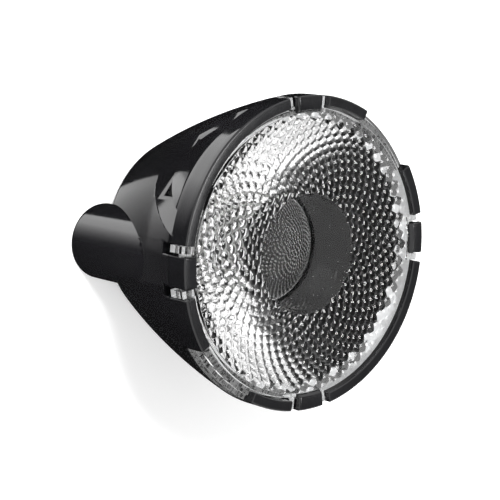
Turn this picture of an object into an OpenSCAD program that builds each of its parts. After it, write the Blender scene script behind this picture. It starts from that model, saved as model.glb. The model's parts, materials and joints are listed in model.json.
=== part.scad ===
// Spot optic for one power LED. A clear collimating lens snaps into a black cone-shaped
// holder, which stands on two screw legs over a small round LED board.
// +Z is the optical axis and light leaves upwards. The origin is the centre of the seat
// plane, the legs lie along X, and the four clips face +X, +Y, -X and -Y.

/* [Holder] */
// Height from the seat plane to the front of the rim
holder_h = 25; // [24.6:0.1:26]
// Outer radius of the rim
rim_r = 18.8; // [18.6:0.1:19.2]
// Outer radius of the cone at the seat plane
base_r = 11.8; // [11.8:0.1:12.2]
// Height at which the cone reaches the rim's radius
flank_h = 22; // [21.8:0.1:22.4]
// How far the flank bulges out beyond a straight cone
flank_bulge = 0.6; // [0.4:0.05:0.7]
// Thickness of the cone's wall
wall = 1.3; // [1.1:0.1:1.5]
// Chamfer on the outer edges of the rim, the base and the legs
edge = 0.3; // [0.1:0.05:0.4]
// Thickness of the holder's floor over the LED board
floor_t = 1.3; // [1.1:0.1:1.4]
// Distance of the two straight slots under the rim from the optical axis
slot_d = 16.65; // [16.6:0.05:16.8]
// Width of those slots
slot_w = 1.15; // [1:0.05:1.2]
// Height at which the slots end, inside the rim
slot_top = 22.2; // [22:0.05:22.3]

/* [Legs] */
// Distance of each leg's centre from the optical axis
leg_x = 12.4; // [12.2:0.1:12.6]
// Radius of each leg
leg_r = 4.7; // [4.4:0.1:4.8]
// Height of the legs, which end inside the cone's wall
leg_h = 17; // [16.5:0.1:17.5]
// Outer radius of the M3 threaded insert
insert_r = 2.1; // [1.9:0.05:2.1]
// Length of the threaded insert
insert_h = 6; // [4:0.5:6]
// Radius of the insert's thread at its crests
thread_r = 1.25; // [1.2:0.01:1.3]

/* [Snap clips] */
// Width of each clip's stem, in degrees around the rim
stem_a = 11; // [9:0.5:12]
// Width of each clip's hook, in degrees around the rim
hook_a = 12; // [11:0.5:12.5]
// Width of the gap in the rim around each clip, in degrees
gap_a = 19; // [19:0.5:20]
// Depth of that gap, from the front of the rim to the clip's root
gap_h = 4.7; // [4.4:0.1:4.9]
// Inner radius of the hook, over the edge of the lens
hook_r = 16.9; // [16.8:0.05:17]
// Thickness of the hook
hook_t = 0.75; // [0.6:0.05:0.8]

/* [Lens] */
// Radius of the lens's flange
lens_r = 17.4; // [17.3:0.05:17.45]
// Thickness of the flange
flange_t = 2.5; // [2.3:0.1:2.6]
// How far the lens's face lies below the front of the rim
face_sink = 0.5; // [0.4:0.05:0.6]
// Width of each lug that fills a window in the rim, in degrees
lug_a = 30; // [26:1:32]
// Radius of the well at the lens's face
well_r = 7.1; // [6.9:0.1:7.3]
// Radius of the well at its floor
well_floor_r = 6.7; // [6.5:0.1:6.8]
// Depth of the well
well_depth = 7; // [6:0.5:8]
// Height of the dome on the well's floor
dome_h = 3.5; // [3:0.1:4]
// Radius of the lens's foot, around the LED
foot_r = 4.4; // [4.2:0.1:4.5]
// Exponent of the lens's reflecting side, where 1 is a straight cone
side_power = 0.8; // [0.75:0.05:0.9]

/* [LED board] */
// Radius of the board
board_r = 9.2; // [9:0.05:9.25]
// Thickness of the board
board_t = 1.6; // [1.5:0.1:1.6]
// Thickness of the thermal pad under the board
pad_t = 0.5; // [0.4:0.1:0.5]
// Side of the LED's square ceramic body
led_w = 5; // [4.5:0.1:5]
// Radius of the LED's silicone dome
led_dome_r = 2.35; // [2:0.05:2.4]

/* [Hidden] */
$fn = 96;

past = 1;                          // how far a cutter runs past the face it opens
play = 0.05;                       // play between moving pieces, and set-back of hidden faces
fit = 0.1;                         // clearance around the lens and the board
skin = 0.02;                       // set-back of the clips' outer faces from the holder's
steps = 8;                         // straight steps along each curved outline
board_top = pad_t + board_t;
floor_z = board_top + floor_t;
face_z = holder_h - face_sink;
ledge_z = face_z - flange_t;
ledge_w = 1.1;                     // width of the ledge that the flange rests on
lug_room_a = 1;                    // how much wider a window is than its lug, in degrees
rim_in_r = lens_r + fit;
ledge_r = rim_in_r - ledge_w;
board_pocket_r = board_r + fit;
led_hole_gap = 0.5;
led_hole_r = foot_r + led_hole_gap;
slot_dirs = [140, 320];
slot_low = 10;                     // the slots start below the height where they leave the cone
slot_l = 20;
web_t = 1.6;                       // the part of the wall behind the first slot that is open as well
web_w = 8;
web_z = 16.8;
web_h = 4;

clip_dirs = [0, 90, 180, 270];
lug_dirs = [45, 225];
root_z = holder_h - gap_h;
root_pin_r = 0.6;
root_r = flank(root_z) - root_pin_r - skin;
root_w = 3.5;
stem_in_r = rim_in_r;
stem_relief = 0.4;                 // how far the ledge is cut back behind each stem

boss_wall = 1.3;                   // plastic around each insert inside the cone
boss_roof = 1.2;                   // plastic over the end of a mounting screw
boss_r = insert_r + boss_wall;
knurl_t = 0.3;
waist_share = 0.16;                // share of the insert's length that its waist takes
thread_t = 0.25;                   // depth of the insert's thread
tip_r = 1.7;                       // clearance for the end of a mounting screw
tip_l = 1.3;
boss_h = insert_h + tip_l + boss_roof;
screw_y = 7.3;                     // board screws on either side of the LED
screw_r = 0.8;
screw_head_r = 1.5;
screw_head_h = 0.8;
screw_head_gap = 0.3;              // clearance around each screw's head in the thermal pad
screw_slot_l = 2.4;
screw_slot_w = 0.35;
screw_end_z = 4.1;
screw_boss_r = 1.5;
screw_boss_h = 4.3;
solder_dirs = [45, -45];
solder_r = 6.9;
solder_size = [2.4, 1.8, 0.12];
wire_w = 2.2;
wire_roof = 0.4;                   // how far the wire notches stay below the floor's upper face
wire_h = floor_z - wire_roof;
window_w = 3;

side_gap = 0.2;                    // clearance between the ledge and the lens's side
side_top_r = ledge_r - side_gap;
foot_z = floor_z - fit;
flange_step = 0.15;
lug_step_z = ledge_z + 2;          // top of the inner half of a lug
lug_top_z = ledge_z + 1.6;         // top of the outer half of a lug
tab_a = [6.6, 9.2];                // the tabs beside each hook, in degrees from the clip's middle
tab_r = rim_r - fit;
recess_r = 3.3;                    // recess in the lens's foot that takes the LED
recess_h = 4.5;
recess_crown = 0.9;
notch_a = 18.6;                    // notch in the lens's face under each hook and its tabs
notch_r = hook_r - fit;
notch_z = holder_h - hook_t - play;
led_h = 0.75;
chip_w = 1.05;
chip_t = 0.2;
chip_pitch = 1.2;
led_z = board_top + led_h;

// Outer radius of the holder at height z.
function flank(z) =
    let (t = min(z / flank_h, 1))
    base_r + (rim_r - base_r) * t + 4 * flank_bulge * t * (1 - t);

// Radius of the lens's reflecting side at height z.
function side(z) =
    foot_r + (side_top_r - foot_r) * pow((z - foot_z) / (ledge_z - foot_z), side_power);

// Radius of the sphere whose cap has radius r and height h.
function cap_radius(r, h) = (r * r + h * h) / (2 * h);

// A profile swept over an arc of the given width, centred on direction dir.
module arc_sweep(dir, width) {
    rotate([0, 0, dir - width / 2])
        rotate_extrude(angle = width)
            children();
}

// A rectangle in the profile plane, from radius r0 to r1 and from height z0 to z1.
module profile_box(r0, r1, z0, z1) {
    translate([r0, z0])
        square([r1 - r0, z1 - z0]);
}

// The two legs' positions.
module at_legs() {
    for (x = [-leg_x, leg_x])
        translate([x, 0, 0])
            children();
}

// The two board screws' positions.
module at_board_screws() {
    for (y = [-screw_y, screw_y])
        translate([0, y, 0])
            children();
}

// The cone and its two legs, before anything is cut out of them.
module holder_outside() {
    rotate_extrude()
        polygon(concat(
            [[0, 0], [base_r - edge, 0], [flank(edge), edge]],
            [for (i = [1:steps]) [flank(flank_h * i / steps), flank_h * i / steps]],
            [[rim_r, holder_h - edge], [rim_r - edge, holder_h], [0, holder_h]]));
    at_legs() {
        cylinder(r1 = leg_r - edge, r2 = leg_r, h = edge);
        translate([0, 0, edge])
            cylinder(r = leg_r, h = leg_h - edge);
    }
}

// The hollow of the cone, which leaves the bosses for the inserts and the screws standing.
module holder_cavity() {
    difference() {
        rotate_extrude()
            polygon(concat(
                [[0, floor_z]],
                [for (i = [0:steps])
                    let (z = floor_z + (ledge_z - floor_z) * i / steps)
                    [min(flank(z) - wall, ledge_r), z]],
                [[rim_in_r, ledge_z], [rim_in_r, holder_h + past], [0, holder_h + past]]));
        at_legs()
            cylinder(r = boss_r, h = boss_h);
        at_board_screws()
            cylinder(r = screw_boss_r, h = screw_boss_h);
    }
}

// The gap in the rim around one clip, with the socket for the clip's root.
module clip_gap(dir) {
    arc_sweep(dir, gap_a)
        profile_box(stem_in_r - stem_relief, rim_r + past, root_z, holder_h + past);
    rotate([0, 0, dir])
        translate([root_r, 0, root_z])
            rotate([90, 0, 0])
                cylinder(r = root_pin_r + play, h = root_w + 4 * play, center = true);
}

// Straight slot between the cone and the rim, open on the outside.
module rim_slot(dir) {
    rotate([0, 0, dir])
        translate([slot_d, -slot_l / 2, slot_low])
            cube([slot_w, slot_l, slot_top - slot_low]);
}

// Opening from a slot into the hollow.
module slot_opening(dir) {
    rotate([0, 0, dir])
        translate([slot_d - web_t, -web_w / 2, web_z])
            cube([web_t + slot_w / 2, web_w, web_h]);
}

// Solder window in the floor, and the notch that lets one wire out at the side.
module wire_way(dir) {
    rotate([0, 0, dir]) {
        translate([solder_r - solder_size[0], -window_w / 2, board_top - past])
            cube([2 * solder_size[0], window_w, floor_t + 2 * past]);
        translate([solder_r, -wire_w / 2, -past])
            cube([base_r, wire_w, wire_h + past]);
    }
}

module lens_holder() {
    color("#141416")
        difference() {
            holder_outside();
            holder_cavity();
            translate([0, 0, -past])
                cylinder(r = board_pocket_r, h = board_top + past);
            cylinder(r = led_hole_r, h = floor_z + past);
            for (dir = clip_dirs)
                clip_gap(dir);
            for (dir = lug_dirs)
                arc_sweep(dir, lug_a + lug_room_a)
                    profile_box(rim_in_r - past, rim_r + past, ledge_z, holder_h + past);
            for (dir = slot_dirs)
                rim_slot(dir);
            slot_opening(slot_dirs[0]);
            for (dir = solder_dirs)
                wire_way(dir);
            at_legs() {
                translate([0, 0, -past])
                    cylinder(r = insert_r, h = insert_h + past);
                cylinder(r = tip_r, h = boss_h - boss_roof);
            }
            at_board_screws()
                cylinder(r = screw_r, h = screw_boss_h + past);
        }
}

// One snap clip: a round root in the wall, a stem along the flank and a hook over the lens.
module lens_clip(dir) {
    clip_out_r = rim_r - skin;
    stem_out_r = clip_out_r - play;
    stem_top_z = holder_h - hook_t / 2;
    color("#17171a") {
        arc_sweep(dir, stem_a)
            polygon([[stem_in_r, root_z], [root_r + root_pin_r - play, root_z],
                     [stem_out_r, flank_h], [stem_out_r, stem_top_z], [stem_in_r, stem_top_z]]);
        arc_sweep(dir, hook_a)
            polygon([[hook_r, holder_h - hook_t], [clip_out_r, holder_h - hook_t],
                     [clip_out_r, holder_h - edge], [clip_out_r - edge, holder_h],
                     [hook_r + hook_t / 2, holder_h], [hook_r, holder_h - hook_t / 2]]);
        rotate([0, 0, dir])
            translate([root_r, 0, root_z])
                rotate([90, 0, 0])
                    cylinder(r = root_pin_r, h = root_w, center = true);
    }
}

// The lens before its well, recess and notches are cut.
module lens_outside() {
    rotate_extrude()
        polygon(concat(
            [[0, foot_z]],
            [for (i = [0:steps])
                let (z = foot_z + (ledge_z - foot_z) * i / steps)
                [side(z), z]],
            [[lens_r, ledge_z], [lens_r, ledge_z + flange_t / 2],
             [lens_r - flange_step, ledge_z + flange_t / 2], [lens_r - flange_step, face_z],
             [0, face_z]]));
    for (dir = lug_dirs)
        arc_sweep(dir, lug_a) {
            profile_box(lens_r - past, (lens_r + rim_r) / 2, ledge_z, lug_step_z);
            profile_box(lens_r - past, rim_r - fit, ledge_z, lug_top_z);
        }
    for (dir = clip_dirs, side = [-1, 1])
        arc_sweep(dir + side * (tab_a[0] + tab_a[1]) / 2, tab_a[1] - tab_a[0])
            profile_box(lens_r - past, tab_r, ledge_z, face_z);
}

// The well in the lens's face, with the domed floor left standing.
module lens_well() {
    cap_r = cap_radius(well_floor_r, dome_h);
    difference() {
        translate([0, 0, face_z - well_depth])
            cylinder(r1 = well_floor_r, r2 = well_r, h = well_depth);
        translate([0, 0, face_z - well_depth + dome_h - cap_r])
            sphere(r = cap_r);
    }
    translate([0, 0, face_z])
        cylinder(r = well_r, h = past);
}

// The recess around the LED, whose roof bulges down as a small condensing lens.
module led_recess() {
    cap_r = cap_radius(recess_r, recess_crown);
    difference() {
        translate([0, 0, foot_z - past])
            cylinder(r = recess_r, h = recess_h + past);
        translate([0, 0, foot_z + recess_h - recess_crown + cap_r])
            sphere(r = cap_r);
    }
}

module tir_lens() {
    color("#dfe8ee", 0.6)
        difference() {
            lens_outside();
            lens_well();
            led_recess();
            for (dir = clip_dirs)
                arc_sweep(dir, notch_a)
                    profile_box(notch_r, rim_r + past, notch_z, face_z + past);
        }
}

// Brass M3 insert with a waist between its two knurled bands.
module thread_insert(x) {
    waist_r = insert_r - knurl_t;
    waist_z = [insert_h * (1 - waist_share) / 2, insert_h * (1 + waist_share) / 2];
    mouth_r = thread_r + thread_t;
    color("#c9a14a")
        translate([x, 0, 0])
            rotate_extrude()
                polygon([[mouth_r, 0], [insert_r, 0], [insert_r, waist_z[0]], [waist_r, waist_z[0]],
                         [waist_r, waist_z[1]], [insert_r, waist_z[1]], [insert_r, insert_h],
                         [thread_r, insert_h], [thread_r, mouth_r - thread_r]]);
}

module led_board() {
    color("#f2f2ee")
        difference() {
            translate([0, 0, pad_t])
                cylinder(r = board_r, h = board_t);
            at_board_screws() {
                translate([0, 0, pad_t])
                    cylinder(r1 = screw_head_r, r2 = screw_r, h = screw_head_h);
                cylinder(r = screw_r, h = board_top + past);
            }
        }
}

module led_body() {
    color("#e9e7e2")
        translate([-led_w / 2, -led_w / 2, board_top])
            cube([led_w, led_w, led_h]);
}

// One of the LED's four phosphor-coated chips, at column i and row j.
module led_chip(i, j) {
    color("#e8c94a")
        translate([i * chip_pitch / 2 - chip_w / 2, j * chip_pitch / 2 - chip_w / 2, led_z])
            cube([chip_w, chip_w, chip_t]);
}

module led_dome() {
    color("#eef4f6", 0.5)
        difference() {
            translate([0, 0, led_z])
                sphere(r = led_dome_r);
            translate([0, 0, led_z - 2 * led_dome_r])
                cylinder(r = 2 * led_dome_r, h = 2 * led_dome_r);
            for (i = [-1, 1], j = [-1, 1])
                led_chip(i, j);
        }
}

module solder_pad(dir) {
    color("#c8c8cc")
        rotate([0, 0, dir])
            translate([solder_r - solder_size[0] / 2, -solder_size[1] / 2, board_top])
                cube(solder_size);
}

// Countersunk self-tapping screw, driven in from under the board.
module board_screw(y) {
    slot = [screw_slot_l, screw_slot_w, screw_slot_w];
    color("#9a9ca0")
        translate([0, y, 0])
            difference() {
                union() {
                    translate([0, 0, pad_t])
                        cylinder(r1 = screw_head_r, r2 = screw_r, h = screw_head_h);
                    translate([0, 0, pad_t + screw_head_h])
                        cylinder(r = screw_r, h = screw_end_z - pad_t - screw_head_h);
                }
                for (turn = [0, 90])
                    rotate([0, 0, turn])
                        translate([-slot[0] / 2, -slot[1] / 2, pad_t - past])
                            cube([slot[0], slot[1], slot[2] + past]);
            }
}

module thermal_pad() {
    color("#8f959c")
        difference() {
            cylinder(r = board_r, h = pad_t);
            at_board_screws()
                translate([0, 0, -past])
                    cylinder(r = screw_head_r + screw_head_gap, h = pad_t + 2 * past);
        }
}

lens_holder();
lens_clip(clip_dirs[0]);  // lens_clip_right
lens_clip(clip_dirs[1]);  // lens_clip_back
lens_clip(clip_dirs[2]);  // lens_clip_left
lens_clip(clip_dirs[3]);  // lens_clip_front
tir_lens();
thread_insert(-leg_x);  // thread_insert_left
thread_insert(leg_x);  // thread_insert_right
led_board();
led_body();
led_chip(1, 1);  // led_chip_1
led_chip(-1, 1);  // led_chip_2
led_chip(-1, -1);  // led_chip_3
led_chip(1, -1);  // led_chip_4
led_dome();
solder_pad(solder_dirs[0]);  // solder_pad_plus
solder_pad(solder_dirs[1]);  // solder_pad_minus
board_screw(-screw_y);  // board_screw_front
board_screw(screw_y);  // board_screw_back
thermal_pad();
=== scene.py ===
"""The spot optic's looks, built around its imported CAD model.

All sizes below are in millimetres, as in the CAD source, and meshes are scaled to metres when
they are made. +Z is the optical axis, and angles around it are in degrees from +X.
"""

import json
import math

import bmesh
import bpy
from mathutils import Matrix, Vector
from mathutils.geometry import delaunay_2d_cdt
from mathutils.kdtree import KDTree


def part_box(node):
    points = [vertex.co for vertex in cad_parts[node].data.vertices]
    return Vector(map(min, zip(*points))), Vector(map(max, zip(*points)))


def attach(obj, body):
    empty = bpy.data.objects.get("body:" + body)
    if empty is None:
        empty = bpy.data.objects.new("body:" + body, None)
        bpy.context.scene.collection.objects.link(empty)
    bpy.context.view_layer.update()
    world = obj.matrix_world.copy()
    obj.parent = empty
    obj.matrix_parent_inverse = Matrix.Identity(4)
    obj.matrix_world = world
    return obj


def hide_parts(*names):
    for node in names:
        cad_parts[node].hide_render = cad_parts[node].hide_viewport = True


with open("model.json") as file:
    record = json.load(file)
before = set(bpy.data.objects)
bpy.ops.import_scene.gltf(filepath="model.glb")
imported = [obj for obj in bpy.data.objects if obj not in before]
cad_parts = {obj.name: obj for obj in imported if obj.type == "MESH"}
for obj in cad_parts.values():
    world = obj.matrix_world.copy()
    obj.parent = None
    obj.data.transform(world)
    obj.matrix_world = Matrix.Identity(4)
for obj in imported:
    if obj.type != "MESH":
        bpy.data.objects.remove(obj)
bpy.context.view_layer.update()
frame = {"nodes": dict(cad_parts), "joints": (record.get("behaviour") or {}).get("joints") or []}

MM = 0.001
SAME_PLACE = 2e-8    # metres; vertices nearer than this are one
SHARP_A = 28.0       # edges that turn by more than this many degrees are sharp
LENS_SHARP_A = 24.0
INSERT_SHARP_A = 35.0

# ---------------------------------------------------------------- sizes read from the frame


def node_top(node):
    """Greatest height of a CAD node, in millimetres."""
    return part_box(node)[1].z / MM


def node_bottom(node):
    """Least height of a CAD node, in millimetres."""
    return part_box(node)[0].z / MM


HOLDER_H = node_top("lens_holder")
FACE_Z = node_top("tir_lens")
FOOT_Z = node_bottom("tir_lens")
BOARD_TOP = node_top("led_board")
BOARD_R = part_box("led_board")[1].x / MM
CLIP_OUT_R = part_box("lens_clip_right")[1].x / MM
HOOK_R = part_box("lens_clip_right")[0].x / MM
INSERT_LOW, INSERT_HIGH = (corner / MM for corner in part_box("thread_insert_right"))
INSERT_R = (INSERT_HIGH.x - INSERT_LOW.x) / 2
LEG_X = (INSERT_HIGH.x + INSERT_LOW.x) / 2
CLIP_JOINT = next(j for j in frame["joints"] if j["child"] == "clip_right")
ROOT_R = CLIP_JOINT["pos_m"][0] / MM
ROOT_Z = CLIP_JOINT["pos_m"][2] / MM

# ---------------------------------------------------------------- sizes shared with the CAD source

SKIN = 0.02    # how far a clip lies below the rim's surface
HAIR = 0.001   # keeps two surfaces from lying exactly on each other
PLAY = 0.05    # gap between a moving piece and its neighbour
FIT = 0.1      # gap between two fixed pieces
PAST = 1.0     # how far a cutter reaches beyond what it cuts
RIM_R = CLIP_OUT_R + SKIN
BASE_R = 11.8
FLANK_H = 22.0
FLANK_BULGE = 0.6
WALL = 1.3
FLOOR_T = 1.3
FLOOR_Z = BOARD_TOP + FLOOR_T
LEG_R = 4.7
LEG_H = 17.0
LENS_R = 17.4
RIM_IN_R = LENS_R + FIT
FLANGE_T = 2.5
LEDGE_Z = FACE_Z - FLANGE_T
LEDGE_W = 1.1
LEDGE_R = RIM_IN_R - LEDGE_W
HOOK_T = 0.75
STEM_A, HOOK_A, GAP_A = 11.0, 12.0, 19.0    # degrees around the axis, as are all names ending in _A
TAB_A, TAB_R = (6.6, 9.2), RIM_R - FIT
LUG_A, LUG_ROOM_A = 30.0, 1.0
SLOT_D, SLOT_W, SLOT_L = 16.65, 1.15, 20.0
SLOT_LOW, SLOT_TOP = 10.0, 22.2
OPENING_T, OPENING_W, OPENING_Z, OPENING_H = 1.6, 8.0, 16.8, 4.0
BOSS_WALL, BOSS_H, BOSS_ROOF = 1.3, 8.5, 1.2
INSERT_H = 6.0
SCREW_TIP_R = 1.7
LED_HOLE_GAP = 0.5
WINDOW_X, WINDOW_W = (4.5, 9.3), 3.0
WIRE_X, WIRE_W, WIRE_ROOF = (6.9, 19.0), 2.2, 0.4
CLIP_DIRS = (0.0, 90.0, 180.0, 270.0)
LUG_DIRS = (45.0, 225.0)
WIRE_DIRS = (45.0, -45.0)
SLOT_DIRS = (140.0, 320.0)
WELL_R, WELL_FLOOR_R, WELL_DEPTH = 7.1, 6.7, 7.0
DOME_H = 3.5
FOOT_R = 4.4
SIDE_TOP_R = LEDGE_R - 0.2
SIDE_POWER = 0.8
RECESS_R, RECESS_H, RECESS_CROWN = 3.3, 4.5, 0.9
THREAD_PITCH = 0.5

# ---------------------------------------------------------------- small mesh tools


def flank(z):
    """Outer radius of the holder's cone at height z."""
    t = min(max(z, 0) / FLANK_H, 1)
    return BASE_R + (RIM_R - BASE_R) * t + 4 * FLANK_BULGE * t * (1 - t)


def lens_side(z):
    """Radius of the lens's reflecting side at height z."""
    return FOOT_R + (SIDE_TOP_R - FOOT_R) * ((z - FOOT_Z) / (LEDGE_Z - FOOT_Z)) ** SIDE_POWER


def spread(first, last, count):
    """count + 1 evenly spaced numbers from first to last."""
    return [first + (last - first) * i / count for i in range(count + 1)]


def arc(centre, radius, start, end, count):
    """Points (r, z) on an arc in the profile plane, angles in degrees."""
    return [(centre[0] + radius * math.cos(math.radians(a)), centre[1] + radius * math.sin(math.radians(a)))
            for a in spread(start, end, count)]


def around(angle, r, z):
    """The point at a radius, an angle in degrees around the axis and a height."""
    a = math.radians(angle)
    return Vector((r * math.cos(a), r * math.sin(a), z))


def apart(angle, direction):
    """Smallest angle between two directions, in degrees."""
    return abs((angle - direction + 180) % 360 - 180)


class Shell:
    """Collects vertices and faces in millimetres, and makes one mesh object of them."""

    def __init__(self):
        self.points = []
        self.faces = []

    def ring(self, points):
        """Adds points and returns their numbers."""
        first = len(self.points)
        self.points += [Vector(p) for p in points]
        return list(range(first, len(self.points)))

    def bridge(self, low, high, closed=True):
        """Quads between two rows of the same length."""
        count = len(low)
        for i in range(count if closed else count - 1):
            j = (i + 1) % count
            self.faces.append((low[i], low[j], high[j], high[i]))

    def stitch(self, low, high):
        """Triangles between two closed rings of any length, both in order of angle."""
        def turn(number):
            p = self.points[number]
            return math.atan2(p.y, p.x) % math.tau

        low = sorted(low, key=turn)
        high = sorted(high, key=turn)
        a, b = [turn(n) for n in low], [turn(n) for n in high]
        i = j = 0
        while i < len(low) or j < len(high):
            next_a = a[i + 1] if i + 1 < len(low) else a[0] + math.tau if i < len(low) else math.inf
            next_b = b[j + 1] if j + 1 < len(high) else b[0] + math.tau if j < len(high) else math.inf
            here_a, here_b = low[i % len(low)], high[j % len(high)]
            if next_a <= next_b:
                self.faces.append((here_a, low[(i + 1) % len(low)], here_b))
                i += 1
            else:
                self.faces.append((here_a, high[(j + 1) % len(high)], here_b))
                j += 1

    def fan(self, ring, tip):
        """Triangles from a closed ring to one point."""
        for i, number in enumerate(ring):
            self.faces.append((number, ring[(i + 1) % len(ring)], tip))

    def make(self, name, material, sharp=SHARP_A):
        """The mesh object, in metres, with its faces turned outwards and its edges sharp past an angle."""
        mesh = bpy.data.meshes.new(name)
        mesh.from_pydata([p * MM for p in self.points], [], self.faces)
        bm = bmesh.new()
        bm.from_mesh(mesh)
        bmesh.ops.remove_doubles(bm, verts=bm.verts, dist=SAME_PLACE)
        bmesh.ops.recalc_face_normals(bm, faces=bm.faces)
        bm.to_mesh(mesh)
        bm.free()
        return finish_mesh(name, mesh, material, sharp)


def finish_mesh(name, mesh, material, sharp):
    """Puts a mesh in the scene with its material, smooth but for its sharp edges."""
    mesh.polygons.foreach_set("use_smooth", [True] * len(mesh.polygons))
    mesh.set_sharp_from_angle(angle=math.radians(sharp))
    mesh.materials.append(material)
    piece = bpy.data.objects.new(name, mesh)
    bpy.context.scene.collection.objects.link(piece)
    return piece


def boolean(piece, cutter, operation):
    """Cuts or joins another object into a piece and removes that object."""
    change = piece.modifiers.new("boolean", "BOOLEAN")
    change.operation = operation
    change.solver = "MANIFOLD"
    change.object = cutter
    bpy.context.view_layer.update()
    evaluated = piece.evaluated_get(bpy.context.evaluated_depsgraph_get())
    mesh = bpy.data.meshes.new_from_object(evaluated)
    piece.modifiers.clear()
    old = piece.data
    piece.data = mesh
    bpy.data.meshes.remove(old)
    bpy.data.objects.remove(cutter)
    return piece


def revolved(name, profile, material, count, centre=(0.0, 0.0)):
    """A closed solid of revolution from a profile of (r, z) points that starts and ends on the axis."""
    shell = Shell()
    rings = []
    for r, z in profile[1:-1]:
        rings.append(shell.ring([around(a, r, z) for a in spread(0, 360, count)[:-1]]))
    for low, high in zip(rings, rings[1:]):
        shell.bridge(low, high)
    for ring, (r, z) in ((rings[0], profile[0]), (rings[-1], profile[-1])):
        shell.fan(ring, shell.ring([(0, 0, z)])[0])
    shell.points = [p + Vector((centre[0], centre[1], 0)) for p in shell.points]
    return shell.make(name, material)


def sector_solid(name, profiles, material):
    """A closed solid from (angle, profile) columns, each profile a closed loop of the same length."""
    shell = Shell()
    columns = [shell.ring([around(angle, r, z) for r, z in profile]) for angle, profile in profiles]
    for low, high in zip(columns, columns[1:]):
        shell.bridge(low, high)
    shell.faces.append(tuple(reversed(columns[0])))
    shell.faces.append(tuple(columns[-1]))
    return shell.make(name, material)


# ---------------------------------------------------------------- materials


class Look:
    """A node material with a few helpers, so that each look below reads in a few lines."""

    def __init__(self, name, **sockets):
        self.material = bpy.data.materials.new(name)
        self.material.use_nodes = True
        self.tree = self.material.node_tree
        self.shader = self.tree.nodes["Principled BSDF"]
        for socket, value in sockets.items():
            self.shader.inputs[socket.replace("_", " ")].default_value = value
        self.place = self.tree.nodes.new("ShaderNodeTexCoord").outputs["Object"]

    def node(self, kind, inputs=None, **settings):
        """A new node with its settings and its input sockets, which take values or other sockets."""
        made = self.tree.nodes.new(kind)
        for key, value in settings.items():
            setattr(made, key, value)
        for key, value in (inputs or {}).items():
            if isinstance(value, bpy.types.NodeSocket):
                self.tree.links.new(value, made.inputs[key])
            else:
                made.inputs[key].default_value = value
        return made

    def noise(self, scale, detail=4.0, stretch=None):
        """Noise in object space, scale in cycles per metre."""
        place = self.place
        if stretch:
            place = self.node("ShaderNodeMapping", {"Vector": place, "Scale": stretch}).outputs[0]
        made = self.node("ShaderNodeTexNoise", {"Vector": place, "Scale": scale, "Detail": detail})
        return made.outputs["Fac"]

    def ramp(self, factor, low, high, start=0.3, end=0.7):
        """A number that goes from low to high as factor goes from start to end."""
        made = self.node("ShaderNodeMapRange", {0: factor, 1: start, 2: end, 3: low, 4: high})
        return made.outputs[0]

    def colours(self, factor, first, second):
        """A colour between two, by factor."""
        made = self.node("ShaderNodeMix", data_type="RGBA")
        self.tree.links.new(factor, made.inputs["Factor"])
        made.inputs["A"].default_value = (*first, 1)
        made.inputs["B"].default_value = (*second, 1)
        return made.outputs["Result"]

    def set(self, socket, source):
        """Drives one of the shader's sockets."""
        self.tree.links.new(source, self.shader.inputs[socket])

    def bump(self, height, strength, distance):
        """Bump from a height, its distance in metres."""
        made = self.node("ShaderNodeBump", {"Height": height, "Strength": strength, "Distance": distance})
        self.set("Normal", made.outputs[0])


def black_plastic():
    """Glossy moulded black, with faint flow marks, fine scuffs and a slightly duller front edge."""
    look = Look("black_plastic", Specular_IOR_Level=0.5, IOR=1.5)
    grain = look.noise(900, 6)
    flow = look.noise(160, 3, (1, 1, 0.25))
    look.set("Base Color",
             look.colours(look.ramp(flow, 0, 1), (0.004, 0.004, 0.0045), (0.008, 0.008, 0.009)))
    height = look.node("ShaderNodeSeparateXYZ", {0: look.place}).outputs["Z"]
    front = look.ramp(height, 0.0, 0.16, (HOLDER_H - 0.12) * MM, (HOLDER_H - 0.02) * MM)
    polished = look.ramp(grain, 0.06, 0.11)
    look.set("Roughness", look.node("ShaderNodeMath", {0: polished, 1: front}, operation="ADD").outputs[0])
    look.bump(flow, 0.12, 0.00006)
    return look.material


def clear_acrylic():
    """Clear moulded acrylic with the faintest haze."""
    look = Look("clear_acrylic", Base_Color=(1, 1, 1, 1), Transmission_Weight=1.0, IOR=1.49)
    look.set("Roughness", look.ramp(look.noise(500, 5), 0.0, 0.02, 0.45, 0.75))
    return look.material


def frosted_acrylic_painted_glow():
    """Textured whitish skin under and around the lens's flange, with a faint painted glow that stands in
    for light piped through the lens.
    """
    # The emission is a painted glow, not a lamp: it stands in for light piped through the lens onto this
    # skin.
    look = Look("frosted_acrylic_painted_glow", Metallic=1.0, Emission_Color=(1, 1, 1, 1), Emission_Strength=0.25)
    grain = look.noise(1500, 5)
    look.set("Base Color", look.colours(look.ramp(grain, 0, 1), (0.86, 0.87, 0.88), (0.95, 0.96, 0.96)))
    look.set("Roughness", look.ramp(grain, 0.45, 0.65))
    look.bump(grain, 0.5, 0.00005)
    return look.material


def brass():
    """Turned brass with fine tool lines and a little tarnish."""
    look = Look("turned_brass", Metallic=1.0)
    tarnish = look.noise(700, 4)
    look.set("Base Color", look.colours(look.ramp(tarnish, 0, 1), (0.78, 0.57, 0.25), (0.58, 0.40, 0.17)))
    look.set("Roughness", look.ramp(look.noise(1500, 3, (1, 1, 6)), 0.22, 0.42))
    look.bump(look.noise(3000, 2, (1, 1, 8)), 0.15, 0.00002)
    return look.material


def screw_steel():
    """Zinc-plated steel with small blotches."""
    look = Look("zinc_steel", Metallic=1.0)
    blotch = look.noise(1200, 5)
    look.set("Base Color", look.colours(look.ramp(blotch, 0, 1), (0.52, 0.53, 0.55), (0.66, 0.66, 0.67)))
    look.set("Roughness", look.ramp(blotch, 0.25, 0.45))
    look.bump(blotch, 0.1, 0.00002)
    return look.material


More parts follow.
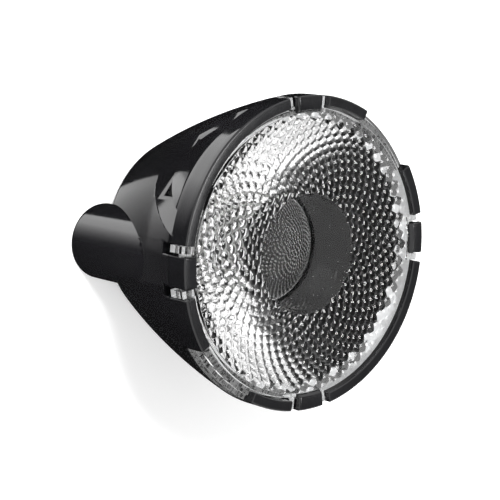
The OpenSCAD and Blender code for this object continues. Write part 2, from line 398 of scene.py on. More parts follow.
def solder_mask():
    """White solder mask, slightly uneven over the metal board."""
    look = Look("white_solder_mask", Specular_IOR_Level=0.5)
    flow = look.noise(350, 5)
    look.set("Base Color", look.colours(look.ramp(flow, 0, 1), (0.80, 0.81, 0.79), (0.87, 0.88, 0.86)))
    look.set("Roughness", look.ramp(flow, 0.3, 0.45))
    look.bump(flow, 0.2, 0.00003)
    return look.material


def soft_pad():
    """Grey silicone thermal pad with a fine weave of glass fibre under its skin."""
    look = Look("thermal_silicone")
    weave_x = look.node("ShaderNodeTexWave", {"Vector": look.place, "Scale": 420.0, "Distortion": 0.6},
                        bands_direction="X").outputs["Fac"]
    weave_y = look.node("ShaderNodeTexWave", {"Vector": look.place, "Scale": 420.0, "Distortion": 0.6},
                        bands_direction="Y").outputs["Fac"]
    weave = look.node("ShaderNodeMath", {0: weave_x, 1: weave_y}, operation="MULTIPLY").outputs[0]
    speckle = look.noise(2500, 4)
    look.set("Base Color", look.colours(look.ramp(speckle, 0, 1), (0.27, 0.30, 0.33), (0.38, 0.41, 0.44)))
    look.set("Roughness", look.ramp(speckle, 0.6, 0.8))
    look.bump(weave, 0.35, 0.00006)
    return look.material


def ceramic():
    """White alumina with a faint grain."""
    look = Look("alumina")
    grain = look.noise(2200, 5)
    look.set("Base Color", look.colours(look.ramp(grain, 0, 1), (0.78, 0.77, 0.73), (0.86, 0.85, 0.82)))
    look.set("Roughness", look.ramp(grain, 0.4, 0.55))
    look.bump(grain, 0.1, 0.00002)
    return look.material


def phosphor():
    """Yellow phosphor layer on a chip."""
    look = Look("phosphor")
    grain = look.noise(6000, 5)
    look.set("Base Color", look.colours(look.ramp(grain, 0, 1), (0.72, 0.56, 0.16), (0.84, 0.68, 0.26)))
    look.set("Roughness", look.ramp(grain, 0.7, 0.9))
    look.bump(grain, 0.3, 0.00002)
    return look.material


def silicone():
    """Clear silicone of the LED's dome."""
    look = Look("clear_silicone", Base_Color=(1, 1, 1, 1), Transmission_Weight=1.0, IOR=1.41)
    look.set("Roughness", look.ramp(look.noise(900, 4), 0.0, 0.04))
    return look.material


def tinned():
    """Tinned copper pad with a ripple of solder."""
    look = Look("tinned_pad", Metallic=1.0)
    ripple = look.noise(1500, 3)
    look.set("Base Color", look.colours(look.ramp(ripple, 0, 1), (0.70, 0.70, 0.70), (0.80, 0.79, 0.77)))
    look.set("Roughness", look.ramp(ripple, 0.2, 0.4))
    look.bump(ripple, 0.4, 0.00005)
    return look.material


# ---------------------------------------------------------------- the holder


EDGE_STEP_A = 0.004   # half the angle that a cut's steep side takes
EDGE_INSET = 0.3      # degrees from a cut to the column where its chamfer starts
COLUMN_PITCH = 1.5    # degrees between two columns elsewhere


def column_angles(directions, widths, pitch, edge_inset):
    """Angles all round at about a pitch, with a pair of columns at each side of each cut."""
    angles = set(spread(0, 360, round(360 / pitch))[:-1])
    edges = []
    for direction, width in zip(directions, widths):
        for side in (-1, 1):
            edge = (direction + side * width / 2) % 360
            edges.append(edge)
            for step in (-edge_inset, -EDGE_STEP_A, EDGE_STEP_A, edge_inset):
                angles.add((edge + side * step) % 360)
    keep = []
    for angle in sorted(angles):
        near = min(apart(angle, edge) for edge in edges)
        if near < edge_inset * 1.5 and not any(
                abs(near - step) < 1e-6 for step in (EDGE_STEP_A, edge_inset)):
            continue
        keep.append(angle)
    return keep


CUTS = [(d, GAP_A) for d in CLIP_DIRS] + [(d, LUG_A + LUG_ROOM_A) for d in LUG_DIRS]
ROUND = 0.22          # radius of the rim's and the clips' outer front edge
BASE_ROUND = 0.65     # radius of the cone's lower edge
FOOT_ROUND = 0.25     # radius of the legs' lower edge
CUT_CHAMFER = 0.07    # chamfer beside a cut in the rim
LEDGE_CHAMFER = 0.08
LIP = 0.12            # chamfer of the rim's inner edge
STEM_RELIEF = 0.4     # extra depth of a clip's gap behind its stem


def holder_column(angle):
    """The closed (r, z) loop of the holder's wall at an angle, always with the same number of points."""
    in_gap = any(apart(angle, d) < GAP_A / 2 for d in CLIP_DIRS)
    in_window = any(apart(angle, d) < (LUG_A + LUG_ROOM_A) / 2 for d in LUG_DIRS)
    edge = min(apart(angle, d) - w / 2 for d, w in CUTS)
    chamfer = CUT_CHAMFER if 0 < edge < EDGE_INSET * 0.9 else 0.0
    if in_gap:
        top, rim_in, rim_out = ROOT_Z, RIM_IN_R - STEM_RELIEF, flank(ROOT_Z) - HAIR
    elif in_window:
        top, rim_in, rim_out = LEDGE_Z, RIM_IN_R, flank(LEDGE_Z) - HAIR
    else:
        top, rim_in, rim_out = HOLDER_H - chamfer, RIM_IN_R + chamfer / 2, RIM_R - chamfer
    outer_top = top - (PLAY if in_gap or in_window else ROUND)
    wall_low = 0.9
    base = arc((BASE_R - BASE_ROUND, BASE_ROUND), BASE_ROUND, -90, -12, 6)
    outside = [(flank(z) - (chamfer if z > ROOT_Z else 0), z)
               for z in spread(wall_low, min(outer_top, FLANK_H), 44)]
    if outer_top > FLANK_H:
        outside += [(rim_out, z) for z in spread(FLANK_H, outer_top, 4)[1:]]
    else:
        outside += [(flank(outer_top), outer_top)] * 4
    if in_gap or in_window:
        crown = [(rim_out, top)] * 5 + [(rim_in, top)] * 3
    else:
        crown = arc((rim_out - ROUND, top - ROUND), ROUND, 0, 90, 4)
        crown += [(rim_in + LIP, top), (rim_in, top - LIP), (rim_in, top - LIP - LEDGE_CHAMFER)]
    if in_gap:
        inside = [(rim_in, top), (rim_in, LEDGE_Z), (LEDGE_R, LEDGE_Z), (LEDGE_R, LEDGE_Z - FIT)]
    else:
        inside = [(rim_in, LEDGE_Z), (LEDGE_R + 0.2, LEDGE_Z), (LEDGE_R + LEDGE_CHAMFER, LEDGE_Z),
                  (LEDGE_R, LEDGE_Z - LEDGE_CHAMFER)]
    inside += [(min(flank(z) - WALL, LEDGE_R), z) for z in spread(LEDGE_Z - 0.3, FLOOR_Z, 20)]
    return base + outside + crown + inside


def leg(x, material):
    """One leg, hollowed where it would reach into the cone, with the boss that holds its insert."""
    foot = arc((LEG_R - FOOT_ROUND, FOOT_ROUND), FOOT_ROUND, -90, 0, 4)
    made = revolved("leg", [(0, 0), *foot, *[(LEG_R, z) for z in spread(0.6, LEG_H, 24)], (0, LEG_H)],
                    material, 120, (x, 0))
    inside_r = [(min(flank(z) - WALL, LEDGE_R) - 2 * HAIR, z)
                for z in spread(FLOOR_Z + 0.01, LEDGE_Z - PAST, 12)]
    inside = revolved("inside", [(0, FLOOR_Z), (BASE_R - 2, FLOOR_Z), *inside_r, (0, LEDGE_Z - PAST)],
                      material, 240)
    boss_r = INSERT_R + BOSS_WALL
    boss = revolved("boss", [(0, FLOOR_Z - 0.5), (boss_r, FLOOR_Z - 0.5), (boss_r, BOSS_H), (0, BOSS_H)],
                    material, 72, (x, 0))
    boolean(made, inside, "DIFFERENCE")
    return boolean(made, boss, "UNION")


def lens_holder(material):
    """The black cone with its rim, gaps, windows and two legs, hollow for the lens and the board."""
    angles = column_angles([d for d, w in CUTS], [w for d, w in CUTS], COLUMN_PITCH, EDGE_INSET)
    shell = Shell()
    columns = [shell.ring([around(a, r, z) for r, z in holder_column(a)]) for a in angles]
    for low, high in zip(columns, columns[1:] + columns[:1]):
        for i in range(len(low) - 1):
            shell.faces.append((low[i], high[i], high[i + 1], low[i + 1]))
    floor_tip = shell.ring([(0, 0, FLOOR_Z)])[0]
    base_tip = shell.ring([(0, 0, 0)])[0]
    for low, high in zip(columns, columns[1:] + columns[:1]):
        shell.faces.append((low[-1], high[-1], floor_tip))
        shell.faces.append((high[0], low[0], base_tip))
    holder = shell.make("holder_shell", material)
    for x in (-LEG_X, LEG_X):
        boolean(holder, leg(x, material), "UNION")

    def hole(name, r, low, high, count):
        """Cuts a round hole around the axis."""
        profile = [(0, low), (r, low), (r, high), (0, high)]
        boolean(holder, revolved(name, profile, material, count), "DIFFERENCE")

    def box(name, low, high, direction):
        """Cuts a box turned about the axis."""
        boolean(holder, block(name, low, high, direction, material), "DIFFERENCE")

    hole("pocket", BOARD_R + FIT, -PAST, BOARD_TOP, 180)
    hole("led_hole", FOOT_R + LED_HOLE_GAP, PAST, FLOOR_Z + PAST, 120)
    tip_z = BOSS_H - BOSS_ROOF
    for x in (-LEG_X, LEG_X):
        bore = [(0, -PAST), (INSERT_R, -PAST), (INSERT_R, INSERT_H), (SCREW_TIP_R, INSERT_H),
                (SCREW_TIP_R, tip_z), (0, tip_z)]
        boolean(holder, revolved("insert_bore", bore, material, 96, (x, 0)), "DIFFERENCE")
    for direction in WIRE_DIRS:
        box("wire_way", (WINDOW_X[0], -WINDOW_W / 2, BOARD_TOP - PAST),
            (WINDOW_X[1], WINDOW_W / 2, FLOOR_Z + PAST), direction)
        box("wire_way", (WIRE_X[0], -WIRE_W / 2, -PAST),
            (WIRE_X[1], WIRE_W / 2, FLOOR_Z - WIRE_ROOF), direction)
    for direction in SLOT_DIRS:
        box("slot", (SLOT_D, -SLOT_L / 2, SLOT_LOW), (SLOT_D + SLOT_W, SLOT_L / 2, SLOT_TOP), direction)
    box("slot_opening", (SLOT_D - OPENING_T, -OPENING_W / 2, OPENING_Z),
        (SLOT_D + SLOT_W / 2, OPENING_W / 2, OPENING_Z + OPENING_H), SLOT_DIRS[0])
    mesh = holder.data
    mesh.polygons.foreach_set("use_smooth", [True] * len(mesh.polygons))
    mesh.set_sharp_from_angle(angle=math.radians(SHARP_A))
    return holder


def block(name, low, high, direction, material):
    """A box between two corners, turned about the axis."""
    shell = Shell()
    turn = Matrix.Rotation(math.radians(direction), 3, "Z")
    bottom, top = ([turn @ Vector((x, y, z)) for x, y in ((low[0], low[1]), (high[0], low[1]),
                                                          (high[0], high[1]), (low[0], high[1]))]
                   for z in (low[2], high[2]))
    a, b = shell.ring(bottom), shell.ring(top)
    shell.bridge(a, b)
    shell.faces += [tuple(reversed(a)), tuple(b)]
    return shell.make(name, material)


# ---------------------------------------------------------------- the clips


CLIP_CHAMFER = 0.1
ROOT_REACH = 0.5      # how far the stem's outline reaches above and below its root
ROOT_IN = 0.3         # how far it reaches inwards there
STEM_STEP_A = 0.01
NOSE = ((0.5, 0), (0.3, 0.06), (0.06, 0.3), (0, 0.42))    # (r, z) outwards from the nose and down


def lens_clip(name, direction, material):
    """A clip: a stem that grows out of the wall, and a slightly wider hook over the lens."""
    hook_z = HOLDER_H - HOOK_T
    low_z = ROOT_Z - ROOT_REACH

    def outline(stem, inset):
        """The clip's closed loop at one angle: with the stem, or the hook alone."""
        out_r = CLIP_OUT_R - inset
        top = HOLDER_H - inset
        outside = [(flank(z) - SKIN - inset, z) for z in spread(low_z, FLANK_H, 10)]
        outside += [(out_r, z) for z in spread(FLANK_H, hook_z, 3)[1:]]
        if not stem:
            outside = [(out_r, hook_z + inset)] * len(outside)
        crown = arc((out_r - ROUND, top - ROUND), ROUND, 0, 90, 4)
        nose = [(HOOK_R + r, top - z) for r, z in NOSE]
        nose += [(HOOK_R, hook_z + LEDGE_CHAMFER), (HOOK_R + LEDGE_CHAMFER, hook_z)]
        inner_r = RIM_IN_R + inset
        inside = [(inner_r, hook_z), (inner_r, hook_z - PLAY), (inner_r, ROOT_Z + ROOT_REACH),
                  (ROOT_R - ROOT_IN, ROOT_Z), (ROOT_R - ROOT_IN, low_z)]
        if not stem:
            inside = [(inner_r, hook_z)] * len(inside)
        return outside + crown + nose + inside

    half_stem, half_hook = STEM_A / 2, HOOK_A / 2
    chamfer_a = math.degrees(CLIP_CHAMFER / RIM_R)
    hook_angles = spread(-half_hook + 2 * chamfer_a, -half_stem - STEM_STEP_A, 2)
    columns = [(-half_hook, outline(False, CLIP_CHAMFER)), (-half_hook + chamfer_a, outline(False, 0))]
    columns += [(a, outline(False, 0)) for a in hook_angles]
    columns += [(-half_stem, outline(True, CLIP_CHAMFER / 2)), (-half_stem + chamfer_a, outline(True, 0))]
    columns += [(a, outline(True, 0)) for a in spread(-half_stem + 2 * chamfer_a, 0, 5)]
    columns += [(-a, loop) for a, loop in reversed(columns[:-1])]
    return sector_solid(name, [(direction + a, loop) for a, loop in columns], material)


# ---------------------------------------------------------------- the lens


SPIRAL_SHARE = 1.75   # distance between neighbours on a sunflower spiral, over its spacing
NEIGHBOURS = 14       # the nearest centres that can bound a cell
REACH = 2.6           # and how far off they can be, in pitches
MARGIN = 1.6          # pitches of spiral beyond a field's borders
OUTLINE_STEP = 0.22   # length of a cell's outline edges, in pitches
GRID_STEP = 0.001     # points nearer than this are one


def golden_spiral(pitch, first, last):
    """Points of a sunflower spiral between two radii, about pitch apart."""
    spacing = pitch / SPIRAL_SHARE
    count_from, count_to = int((first / spacing) ** 2), int((last / spacing) ** 2)
    golden = math.pi * (3 - math.sqrt(5))
    return [Vector((spacing * math.sqrt(n) * math.cos(n * golden),
                    spacing * math.sqrt(n) * math.sin(n * golden)))
            for n in range(count_from, count_to + 1)]


def clipped(polygon, normal, limit):
    """The part of a convex polygon where the dot product with normal is at most limit."""
    out = []
    for here, after in zip(polygon, polygon[1:] + polygon[:1]):
        a, b = here.dot(normal) - limit, after.dot(normal) - limit
        if a <= 0:
            out.append(here)
        if (a < 0 < b) or (b < 0 < a):
            out.append(here.lerp(after, a / (a - b)))
    return out


def pillow_cells(centres, pitch):
    """The cell of each centre: the polygon of points nearer to it than to any other centre."""
    tree = KDTree(len(centres))
    for i, centre in enumerate(centres):
        tree.insert((centre.x, centre.y, 0), i)
    tree.balance()
    cells = []
    for centre in centres:
        cell = [Vector((x * pitch, y * pitch)) for x, y in ((-1, -1), (1, -1), (1, 1), (-1, 1))]
        for place, _, distance in tree.find_n((centre.x, centre.y, 0), NEIGHBOURS):
            offset = Vector((place[0], place[1])) - centre
            if 0 < distance < REACH * pitch:
                cell = clipped(cell, offset, offset.length_squared / 2)
        cells.append([centre + corner for corner in cell])
    return cells, tree


def merged(points, edges):
    """The same points and edges, with points that share a place on a fine grid made one."""
    number, kept, now = {}, [], []
    for p in points:
        key = (round(p.x / GRID_STEP), round(p.y / GRID_STEP))
        if key not in number:
            number[key] = len(kept)
            kept.append(Vector((key[0] * GRID_STEP, key[1] * GRID_STEP)))
        now.append(number[key])
    pairs = {tuple(sorted((now[a], now[b]))) for a, b in edges}
    return kept, sorted(pair for pair in pairs if pair[0] != pair[1])


class Pillows:
    """A field of small domes in a sunflower spiral, between two radii, as a height over the plane."""

    def __init__(self, pitch, first, last, curve_r, rings, base):
        self.first, self.last, self.base = first, last, base
        margin = pitch * MARGIN
        self.centres = golden_spiral(pitch, max(first - margin, 0), last + margin)
        self.cells, self.tree = pillow_cells(self.centres, pitch)
        self.curve_r, self.rings, self.pitch = curve_r, rings, pitch

    def lift(self, p):
        """Height of the surface over the base at a point."""
        distance = self.tree.find((p.x, p.y, 0))[2]
        return -distance * distance / (2 * self.curve_r)

    def grid(self, borders):
        """Points and triangles of the field: a few rings inside each cell, its edges, and the borders."""
        points, edges = [], []

        def inside(p):
            return self.first < p.length < self.last

        for centre, cell in zip(self.centres, self.cells):
            if not self.first - self.pitch < centre.length < self.last + self.pitch:
                continue
            outline = []
            for here, after in zip(cell, cell[1:] + cell[:1]):
                steps = max(1, round((after - here).length / (self.pitch * OUTLINE_STEP)))
                outline += [here.lerp(after, i / steps) for i in range(steps)]
            start = len(points)
            points += outline
            edges += [(start + i, start + (i + 1) % len(outline)) for i in range(len(outline))]
            if inside(centre):
                points.append(centre)
            for k in range(1, self.rings):
                points += [p for p in (centre.lerp(q, k / self.rings) for q in outline[::1 if k > 1 else 2])
                           if inside(p)]
        for radius, count in borders:
            start = len(points)
            points += [around(a, radius, 0).xy for a in spread(0, 360, count)[:-1]]
            edges += [(start + i, start + (i + 1) % count) for i in range(count)]
        points, edges = merged(points, edges)
        flat, _, faces, *_ = delaunay_2d_cdt(points, edges, [], 0, 1e-6)
        keep = []
        last = self.last * math.cos(math.pi / borders[-1][1]) + GRID_STEP
        for face in faces:
            middle = sum((flat[i] for i in face), Vector((0, 0))) / len(face)
            if self.first < middle.length < last:
                keep.append(face)
        return flat, keep


def add_field(shell, field, borders):
    """Adds a field of pillows to a shell. Returns the rings of its borders, in order of angle."""
    flat, faces = field.grid(borders)
    used = sorted({i for face in faces for i in face})
    number = {}
    for i in used:
        p = flat[i]
        number[i] = shell.ring([(p.x, p.y, field.base(p.length) + field.lift(p))])[0]
    shell.faces += [tuple(number[i] for i in face) for face in faces]
    count = {}
    for face in faces:
        for a, b in zip(face, face[1:] + face[:1]):
            count[frozenset((a, b))] = count.get(frozenset((a, b)), 0) + 1
    rims = {}
    for pair, uses in count.items():
        if uses == 1:
            for i in pair:
                nearest = min(borders, key=lambda border: abs(border[0] - flat[i].length))[0]
                rims.setdefault(nearest, set()).add(number[i])

    def turn(number):
        return math.atan2(shell.points[number].y, shell.points[number].x) % math.tau

    return {radius: sorted(ring, key=turn) for radius, ring in rims.items()}


PILLOW_PITCH = 1.04
PILLOW_CURVE_R = 1.4
FINE_PITCH = 0.49
FINE_CURVE_R = 0.45
PILLOW_EDGE_R = 16.75
NOTCH_A = 2 * TAB_A[1]
FLANGE_STEP = 0.15                # how much narrower the flange's upper half is
LUG_STEP, LUG_TOP = 0.8, 0.64     # heights of a lug's two steps, over the flange's thickness
SOFT, LUG_SOFT, FINE_SOFT = 0.06, 0.08, 0.03    # chamfers of the lens's edges
TAB_SOFT = 0.1
STEP_SOFT = 0.04
DRAFT = 0.01                      # how far a steep side leans, so that its points stay apart
RUN = 0.3                         # straight part next to an edge, which keeps the edge crisp
WELL_LIP = 0.12                   # rounding at the top of the well
DOME_RIM = 0.25                   # plain ring around the dome's pillows


def lens_rim_column(angle):
    """Profile of the lens outside its pillows, from the face's flat edge down the flange to the foot."""
    in_notch = any(apart(angle, d) < NOTCH_A / 2 for d in CLIP_DIRS)
    in_tab = any(TAB_A[0] < apart(angle, d) < TAB_A[1] for d in CLIP_DIRS)
    in_lug = any(apart(angle, d) < LUG_A / 2 for d in LUG_DIRS)
    face_z = HOLDER_H - HOOK_T - PLAY if in_notch else FACE_Z
    step_z = LEDGE_Z + FLANGE_T / 2
    out_r = LENS_R - FLANGE_STEP
    points = [(HOOK_R - FIT, FACE_Z), (HOOK_R - FIT + DRAFT / 2, face_z), (out_r - SOFT, face_z)]
    if in_lug:
        lug_r = RIM_R - FIT
        mid_r = (LENS_R + RIM_R) / 2
        lug_step_z, lug_top_z = LEDGE_Z + FLANGE_T * LUG_STEP, LEDGE_Z + FLANGE_T * LUG_TOP
        points += [(out_r, face_z - SOFT), (out_r + 2 * DRAFT, lug_step_z), (mid_r - PLAY, lug_step_z),
                   (mid_r, lug_step_z - PLAY), (mid_r + DRAFT, lug_top_z), (lug_r - LUG_SOFT, lug_top_z),
                   (lug_r, lug_top_z - LUG_SOFT), (lug_r, LEDGE_Z + LUG_SOFT), (lug_r - LUG_SOFT, LEDGE_Z)]
    elif in_tab:
        points += [(out_r, face_z), (LENS_R, face_z), (TAB_R - TAB_SOFT, face_z),
                   (TAB_R - FINE_SOFT, face_z - FINE_SOFT), (TAB_R, face_z - TAB_SOFT), (TAB_R, step_z),
                   (TAB_R, step_z - RUN), (TAB_R, LEDGE_Z + LUG_SOFT), (TAB_R - LUG_SOFT, LEDGE_Z)]
    else:
        points += [(out_r, face_z - SOFT), (out_r, step_z + TAB_SOFT), (out_r, step_z + FINE_SOFT),
                   (out_r + FINE_SOFT, step_z), (LENS_R - STEP_SOFT, step_z), (LENS_R, step_z - STEP_SOFT),
                   (LENS_R, step_z - RUN), (LENS_R, LEDGE_Z + SOFT), (LENS_R - SOFT, LEDGE_Z)]
    points += [(LEDGE_R + 0.4, LEDGE_Z), (SIDE_TOP_R + PLAY, LEDGE_Z), (SIDE_TOP_R, LEDGE_Z - PLAY)]
    points += [(lens_side(z), z) for z in spread(LEDGE_Z - RUN, FOOT_Z, 26)]
    cap_r = (RECESS_R ** 2 + RECESS_CROWN ** 2) / (2 * RECESS_CROWN)
    roof = FOOT_Z + RECESS_H - RECESS_CROWN + cap_r
    points += [(FOOT_R - 0.2, FOOT_Z), (RECESS_R + FIT, FOOT_Z), (RECESS_R, FOOT_Z + FIT)]
    points += [(RECESS_R, z) for z in spread(FOOT_Z + 0.4, FOOT_Z + RECESS_H, 6)]
    points += [(r, roof - math.sqrt(cap_r ** 2 - r ** 2)) for r in spread(RECESS_R, RUN, 10)[1:]]
    return points


def tir_lens(clear, frosted_painted_glow):
    """The lens in one closed mesh: pillowed face, well and dome, flange, tabs, lugs and foot."""
    shell = Shell()
    well_count, face_count, dome_count = 180, 360, 144

    face_inner_r = WELL_R + WELL_LIP
    face_borders = [(face_inner_r, well_count), (PILLOW_EDGE_R, face_count)]
    face = Pillows(PILLOW_PITCH, face_inner_r, PILLOW_EDGE_R, PILLOW_CURVE_R, 4, lambda r: FACE_Z - SKIN)
    face_rings = add_field(shell, face, face_borders)

    dome_base = FACE_Z - WELL_DEPTH
    dome_edge = WELL_FLOOR_R - DOME_RIM
    cap_r = (WELL_FLOOR_R ** 2 + DOME_H ** 2) / (2 * DOME_H)

    def dome(r):
        return dome_base + DOME_H - cap_r + math.sqrt(cap_r ** 2 - r ** 2)

    floor = Pillows(FINE_PITCH, 0, dome_edge, FINE_CURVE_R, 3, dome)
    floor_rings = add_field(shell, floor, [(dome_edge, dome_count)])

    wall = [(WELL_R + SKIN, FACE_Z - WELL_LIP - SOFT), (WELL_R, FACE_Z - 0.4)]
    wall += [(WELL_R + (WELL_FLOOR_R - WELL_R) * t, FACE_Z - WELL_DEPTH * t) for t in spread(0.1, 1, 8)]
    rings = [shell.ring([around(a, r, z) for a in spread(0, 360, well_count)[:-1]]) for r, z in wall]
    shell.stitch(rings[0], face_rings[face_inner_r])
    for low, high in zip(rings, rings[1:]):
        shell.bridge(low, high)
    shell.stitch(floor_rings[dome_edge], rings[-1])

    cuts = [(d, NOTCH_A) for d in CLIP_DIRS] + [(d, 2 * TAB_A[0]) for d in CLIP_DIRS]
    cuts += [(d, LUG_A) for d in LUG_DIRS]
    angles = column_angles([d for d, w in cuts], [w for d, w in cuts], COLUMN_PITCH, EDGE_INSET)
    columns = [shell.ring([around(a, r, z) for r, z in lens_rim_column(a)]) for a in angles]
    for low, high in zip(columns, columns[1:] + columns[:1]):
        shell.bridge(low, high, closed=False)
    shell.stitch([c[0] for c in columns], face_rings[PILLOW_EDGE_R])
    recess_top = shell.ring([(0, 0, FOOT_Z + RECESS_H - RECESS_CROWN)])[0]
    shell.fan([c[-1] for c in columns], recess_top)
    lens = shell.make("clear_lens", clear, LENS_SHARP_A)
    # The second material, for the faces under the flange and on its edge, is the frosted skin with its
    # painted glow.
    lens.data.materials.append(frosted_painted_glow)
    for face in lens.data.polygons:
        middle = face.center / MM
        r = middle.xy.length
        under = abs(middle.z - LEDGE_Z) < LUG_SOFT and r > SIDE_TOP_R - FIT
        edge = LENS_R - 0.2 < r < LENS_R + PLAY and abs(face.normal.z) < 0.5
        if under or edge:
            face.material_index = 1
    return lens


# ---------------------------------------------------------------- the threaded inserts


KNURL_TEETH, KNURL_DEPTH, KNURL_TWIST = 24, 0.16, 30.0
WAIST, WAIST_DEPTH = (0.42, 0.58), 0.3    # from and to, over the insert's height
END_STEP = 0.15                           # height and depth of the step at each end
THREAD_CREST, THREAD_ROOT, LEAD_IN = 1.25, 1.48, 0.25


def threaded_insert(name, x, material):
    """A brass insert with two bands of diagonal knurling, a waist and a helical thread inside."""
    shell = Shell()
    height = INSERT_HIGH.z - INSERT_LOW.z
    waist = [height * share for share in WAIST]

    def outside(angle, z):
        if waist[0] < z < waist[1]:
            return INSERT_R - WAIST_DEPTH
        twist = KNURL_TWIST if z < height / 2 else -KNURL_TWIST
        phase = (angle + twist * z / height) * KNURL_TEETH / 360 % 1
        tooth = KNURL_DEPTH * abs(2 * phase - 1)
        return INSERT_R - tooth - (END_STEP if z < END_STEP or z > height - END_STEP else 0)

    def bore(angle, z):
        if z < LEAD_IN:
            return THREAD_ROOT + SKIN - (z / LEAD_IN) * SKIN
        phase = (z / THREAD_PITCH - angle / 360) % 1
        return THREAD_CREST + (THREAD_ROOT - THREAD_CREST) * abs(2 * phase - 1)

    rows_out = sorted({*spread(0, height, 30), waist[0] + DRAFT, waist[1] - DRAFT})
    rows_in = list(reversed(spread(0, height, 72)))
    turns = spread(0, 360, 144)[:-1]
    rings = [shell.ring([around(a, outside(a, z), z) for a in turns]) for z in rows_out]
    rings += [shell.ring([around(a, bore(a, z), z) for a in turns]) for z in rows_in]
    for low, high in zip(rings, rings[1:] + rings[:1]):
        shell.bridge(low, high)
    shell.points = [p + Vector((x, 0, INSERT_LOW.z)) for p in shell.points]
    return shell.make(name, material, INSERT_SHARP_A)


# ---------------------------------------------------------------- stage, light and camera


def stage(floor_material):
    """A wide pale floor that the optic stands on."""
    reach = 2500 * MM
    corners = [(-reach, -reach, 0), (reach, -reach, 0), (reach, reach, 0), (-reach, reach, 0)]
    mesh = bpy.data.meshes.new("floor")
    mesh.from_pydata(corners, [], [(0, 1, 2, 3)])
    mesh.materials.append(floor_material)
    floor = bpy.data.objects.new("floor", mesh)
    bpy.context.scene.collection.objects.link(floor)
    floor.visible_glossy = False


FADE_POWER = 1.6


def card(name, corners, height, radiance, fade):
    """A glowing card that only reflections see.

    It lies level at a height in millimetres. Its corners, and the two points that its glow grows
    between, are (x, y) for a height of 1. If those two points are one, it glows evenly.
    """
    mesh = bpy.data.meshes.new(name)
    mesh.from_pydata([Vector((x * abs(height), y * abs(height), height)) * MM for x, y in corners], [],
                     [tuple(range(len(corners)))])
    look = Look(name, Base_Color=(0, 0, 0, 1), Emission_Color=(1, 1, 1, 1), Emission_Strength=radiance)
    start, end = (Vector((x, y, 0)) * abs(height) * MM for x, y in fade)
    way = end - start
    if way.length:
        along = look.node("ShaderNodeVectorMath", {0: look.place, 1: way}, operation="DOT_PRODUCT")
        share = look.ramp(along.outputs["Value"], 0, 1, start.dot(way), end.dot(way))
        curve = look.node("ShaderNodeMath", {0: share, 1: FADE_POWER}, operation="POWER").outputs[0]
        glow = look.node("ShaderNodeMath", {0: curve, 1: radiance}, operation="MULTIPLY").outputs[0]
        look.set("Emission Strength", glow)
    mesh.materials.append(look.material)
    made = bpy.data.objects.new(name, mesh)
    bpy.context.scene.collection.objects.link(made)
    made.visible_camera = made.visible_diffuse = made.visible_transmission = made.visible_shadow = False


def panel(name, place, aim, size, power):
    """A soft rectangular light at a place in millimetres, facing a point. It has no mirror image."""
    light = bpy.data.lights.new(name, "AREA")
    light.shape = "RECTANGLE"
    light.size, light.size_y = size[0] * MM, size[1] * MM
    light.energy = power
    lamp = bpy.data.objects.new(name, light)
    lamp.location = Vector(place) * MM
    lamp.rotation_mode = "QUATERNION"
    lamp.rotation_quaternion = (Vector(aim) - Vector(place)).to_track_quat("-Z", "Y")
    lamp.visible_glossy = lamp.visible_transmission = False
    bpy.context.scene.collection.objects.link(lamp)


def camera():
    """The camera, on the left of the optic and above it, with the image's up direction along +Y."""
    place = Vector((-126.95, 33.62, 165.61))
    aim = Vector((0.53, -1.03, 13.17))
    up = Vector((0.116, 0.9851, -0.1269))
    back = (place - aim).normalized()
    right = up.cross(back).normalized()
    data = bpy.data.cameras.new("camera")
    data.lens, data.sensor_width = 117.6, 36.0
    data.clip_start, data.clip_end = 0.01, 10.0
    made = bpy.data.objects.new("camera", data)
    turn = Matrix((right, back.cross(right), back)).transposed().to_4x4()
    made.matrix_world = Matrix.Translation(place * MM) @ turn
    bpy.context.scene.collection.objects.link(made)
    bpy.context.scene.camera = made


SKY = 1.25                                 # radiance of the surroundings
HORIZON = (-0.45, -0.1)                    # they go from dark to full between these heights
BELOW = 0.01                               # their radiance below it
DARK_SIDE = (0.6355, -0.1585, 0.7556)      # direction in which the lens's face would mirror them
DARK_SPREAD = (0.75, 0.93)                 # cosines of the angles where the dark side starts and is full
DARK_SHARE = 0.1                           # what is left of the radiance there


def surroundings():
    """Pale surroundings, dark below the horizon, where the floor hides them, and around DARK_SIDE."""
    world = bpy.data.worlds.new("studio")
    bpy.context.scene.world = world
    world.use_nodes = True
    nodes, links = world.node_tree.nodes, world.node_tree.links
    direction = nodes.new("ShaderNodeTexCoord").outputs["Generated"]

    def fade(value, span, low, high, kind):
        """A number that goes from low to high as value crosses a span."""
        made = nodes.new("ShaderNodeMapRange")
        made.interpolation_type = kind
        links.new(value, made.inputs["Value"])
        for socket, number in zip(("From Min", "From Max", "To Min", "To Max"), (*span, low, high)):
            made.inputs[socket].default_value = number
        return made.outputs[0]

    split = nodes.new("ShaderNodeSeparateXYZ")
    links.new(direction, split.inputs[0])
    toward = nodes.new("ShaderNodeVectorMath")
    toward.operation = "DOT_PRODUCT"
    toward.inputs[1].default_value = DARK_SIDE
    links.new(direction, toward.inputs[0])
    both = nodes.new("ShaderNodeMath")
    both.operation = "MULTIPLY"
    links.new(fade(split.outputs["Z"], HORIZON, BELOW, SKY, "LINEAR"), both.inputs[0])
    links.new(fade(toward.outputs["Value"], DARK_SPREAD, 1, DARK_SHARE, "SMOOTHSTEP"), both.inputs[1])
    links.new(both.outputs[0], nodes["Background"].inputs["Strength"])
    nodes["Background"].inputs["Color"].default_value = (1, 1, 1, 1)


# ---------------------------------------------------------------- everything together

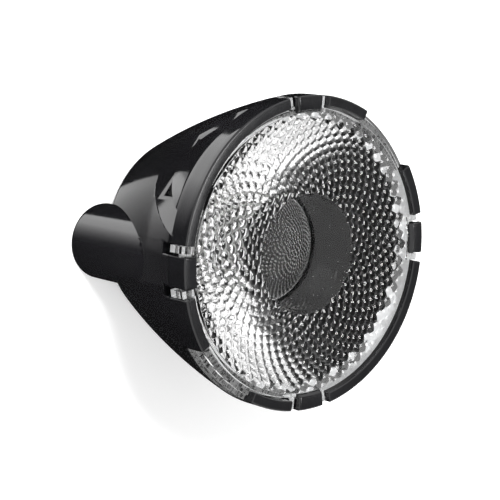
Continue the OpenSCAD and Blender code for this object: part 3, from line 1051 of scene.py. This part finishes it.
# The cards' names, corners, heights, radiances and fades. The first three make the grey highlights
# on the legs, the cone and the strip under the rim, and the last the sparkle in the lens's pillows.
CARDS = [
    ("leg_card", [(-1.3, -0.1), (-0.74, 0.0), (-0.4, 0.36), (0.06, 0.8), (0.1, 1.3), (-1.5, 1.3)],
     -600, 2.9, ((-0.9, 0.2), (-0.5, 0.7))),
    ("flank_card", [(-0.3, -0.3), (0.3, -0.3), (0.34, -0.01), (-0.03, 0.36), (-0.3, 0.36)],
     -600, 0.9, ((-0.175, -0.175), (0.125, 0.125))),
    ("strip_card", [(-0.3, -0.12), (-0.165, -0.1), (-0.165, 0.0), (-0.145, 0.08), (-0.1, 0.165),
                    (-0.045, 0.235), (0.0, 0.34), (-0.3, 0.34)],
     -500, 2.2, ((-0.24, -0.16), (-0.08, 0.25))),
    ("sparkle_card", [(0.1, -0.08), (0.48, -0.08), (0.48, 0.34), (0.1, 0.34)],
     600, 12.0, ((0, 0), (0, 0))),
]

bpy.context.scene.view_settings.view_transform = "Standard"
camera()
surroundings()
floor_look = Look("pale_floor", Roughness=0.9, Emission_Color=(1, 1, 1, 1), Emission_Strength=0.25)
floor_look.set("Base Color",
               floor_look.colours(floor_look.noise(4, 3), (0.88, 0.88, 0.88), (0.92, 0.92, 0.92)))
stage(floor_look.material)
panel("key", (-120, 240, 420), (0, 0, 12), (140, 140), 3.5)
for settings in CARDS:
    card(*settings)

plastic = black_plastic()
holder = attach(lens_holder(plastic), "holder")
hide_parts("lens_holder")

for side, direction in zip(("right", "back", "left", "front"), CLIP_DIRS):
    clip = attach(lens_clip("clip_" + side, direction, plastic), "clip_" + side)
    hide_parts("lens_clip_" + side)

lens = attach(tir_lens(clear_acrylic(), frosted_acrylic_painted_glow()), "holder")
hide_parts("tir_lens")

brass_look = brass()
for side, x in (("left", -LEG_X), ("right", LEG_X)):
    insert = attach(threaded_insert("insert_" + side, x, brass_look), "holder")
    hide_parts("thread_insert_" + side)

NODE_LOOKS = {
    solder_mask: ["led_board"],
    ceramic: ["led_body"],
    phosphor: ["led_chip_1", "led_chip_2", "led_chip_3", "led_chip_4"],
    silicone: ["led_dome"],
    tinned: ["solder_pad_plus", "solder_pad_minus"],
    screw_steel: ["board_screw_front", "board_screw_back"],
    soft_pad: ["thermal_pad"],
}
for make_look, nodes in NODE_LOOKS.items():
    look = make_look()
    for node in nodes:
        cad = frame["nodes"][node]
        cad.data.materials.clear()
        cad.data.materials.append(look)
